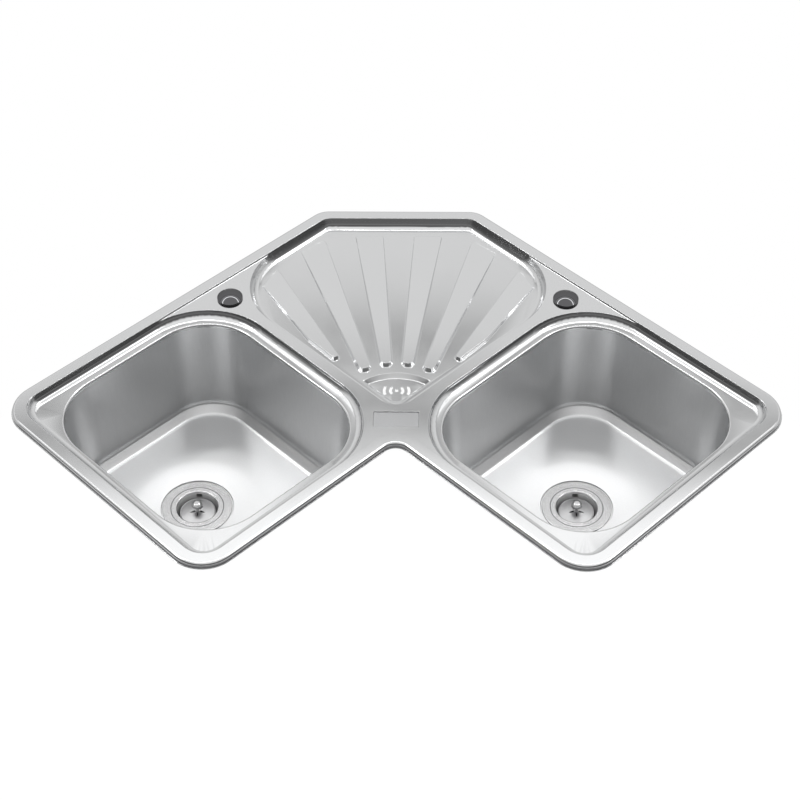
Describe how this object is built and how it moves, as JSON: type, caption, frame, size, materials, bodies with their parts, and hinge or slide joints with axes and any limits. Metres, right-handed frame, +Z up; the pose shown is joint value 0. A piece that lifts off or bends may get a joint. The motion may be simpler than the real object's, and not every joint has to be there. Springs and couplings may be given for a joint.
{
  "type": "corner kitchen sink",
  "caption": "L-shaped inset kitchen sink for a worktop corner, with a bowl on each arm, a fan-ribbed drainer between them, basket strainers and covered tap holes.",
  "frame": {"origin": "middle of the sink's plan box, on the worktop's surface, where the foot of the rim rests", "axes": "+Z up; the walls are at the lowest X and the highest Y; the right arm runs along +X and the left arm along -Y"},
  "size_m": [0.9, 0.9, 0.3229],
  "materials": {
    "deck_steel": "satin, lightly brushed",
    "bowl_steel": "satin, brushed downwards",
    "strainer_steel": "polished",
    "chrome": "mirror bright",
    "zinc_steel": "zinc plated",
    "rubber": "matt",
    "foam": "closed-cell foam",
    "bitumen": "matt sound-deadening sheet",
    "white_plastic": "moulded",
    "grey_plastic": "moulded"
  },
  "bodies": {
    "sink": {"sink_deck": "deck_steel", "rim_seal": "foam", "left_bowl": "bowl_steel", "right_bowl": "bowl_steel", "left_sound_pad": "bitumen", "right_sound_pad": "bitumen", "clamp_brackets": "zinc_steel", "left_strainer_cup": "strainer_steel", "left_flange_gasket": "rubber", "left_under_gasket": "rubber", "left_overflow_collar": "white_plastic", "left_collar_gasket": "rubber", "left_back_nut": "white_plastic", "left_outlet_gasket": "rubber", "left_outlet_tail": "white_plastic", "left_outlet_nut": "white_plastic", "left_tap_cover": "chrome", "left_cover_gasket": "rubber", "left_cover_washer": "grey_plastic", "left_wing_nut": "grey_plastic", "right_strainer_cup": "strainer_steel", "right_flange_gasket": "rubber", "right_under_gasket": "rubber", "right_overflow_collar": "white_plastic", "right_collar_gasket": "rubber", "right_back_nut": "white_plastic", "right_outlet_gasket": "rubber", "right_outlet_tail": "white_plastic", "right_outlet_nut": "white_plastic", "right_tap_cover": "chrome", "right_cover_gasket": "rubber", "right_cover_washer": "grey_plastic", "right_wing_nut": "grey_plastic"},
    "left_basket": {"left_basket": "strainer_steel"},
    "left_stopper": {"left_stopper": "chrome", "left_stopper_seal": "rubber"},
    "right_basket": {"right_basket": "strainer_steel"},
    "right_stopper": {"right_stopper": "chrome", "right_stopper_seal": "rubber"},
    "clamp_1": {"clamp_claw_1": "zinc_steel", "clamp_screw_1": "zinc_steel"},
    "clamp_2": {"clamp_claw_2": "zinc_steel", "clamp_screw_2": "zinc_steel"},
    "clamp_3": {"clamp_claw_3": "zinc_steel", "clamp_screw_3": "zinc_steel"},
    "clamp_4": {"clamp_claw_4": "zinc_steel", "clamp_screw_4": "zinc_steel"},
    "clamp_5": {"clamp_claw_5": "zinc_steel", "clamp_screw_5": "zinc_steel"},
    "clamp_6": {"clamp_claw_6": "zinc_steel", "clamp_screw_6": "zinc_steel"},
    "clamp_7": {"clamp_claw_7": "zinc_steel", "clamp_screw_7": "zinc_steel"},
    "clamp_8": {"clamp_claw_8": "zinc_steel", "clamp_screw_8": "zinc_steel"}
  },
  "joints": [
    {"name": "left_basket_lift", "type": "slide", "parent": "sink", "child": "left_basket", "axis": [0, 0, 1], "range_m": [0, 0.24]},
    {"name": "left_stopper_press", "type": "slide", "parent": "left_basket", "child": "left_stopper", "axis": [0, 0, 1], "range_m": [-0.0065, 0]},
    {"name": "right_basket_lift", "type": "slide", "parent": "sink", "child": "right_basket", "axis": [0, 0, 1], "range_m": [0, 0.24]},
    {"name": "right_stopper_press", "type": "slide", "parent": "right_basket", "child": "right_stopper", "axis": [0, 0, 1], "range_m": [-0.0065, 0]},
    {"name": "clamp_1_swing", "type": "hinge", "parent": "sink", "child": "clamp_1", "pos_m": [0.1655, 0.412, -0.013], "axis": [0, 0, 1], "range_deg": [0, 90]},
    {"name": "clamp_2_swing", "type": "hinge", "parent": "sink", "child": "clamp_2", "pos_m": [0.2855, 0.412, -0.013], "axis": [0, 0, -1], "range_deg": [0, 90]},
    {"name": "clamp_3_swing", "type": "hinge", "parent": "sink", "child": "clamp_3", "pos_m": [0.417, 0.2, -0.013], "axis": [0, 0, -1], "range_deg": [0, 90]},
    {"name": "clamp_4_swing", "type": "hinge", "parent": "sink", "child": "clamp_4", "pos_m": [0.2255, -0.012, -0.013], "axis": [0, 0, 1], "range_deg": [0, 90]},
    {"name": "clamp_5_swing", "type": "hinge", "parent": "sink", "child": "clamp_5", "pos_m": [-0.412, -0.1655, -0.013], "axis": [0, 0, -1], "range_deg": [0, 90]},
    {"name": "clamp_6_swing", "type": "hinge", "parent": "sink", "child": "clamp_6", "pos_m": [-0.412, -0.2855, -0.013], "axis": [0, 0, 1], "range_deg": [0, 90]},
    {"name": "clamp_7_swing", "type": "hinge", "parent": "sink", "child": "clamp_7", "pos_m": [-0.2, -0.417, -0.013], "axis": [0, 0, 1], "range_deg": [0, 90]},
    {"name": "clamp_8_swing", "type": "hinge", "parent": "sink", "child": "clamp_8", "pos_m": [0.012, -0.2255, -0.013], "axis": [0, 0, -1], "range_deg": [0, 90]}
  ]
}
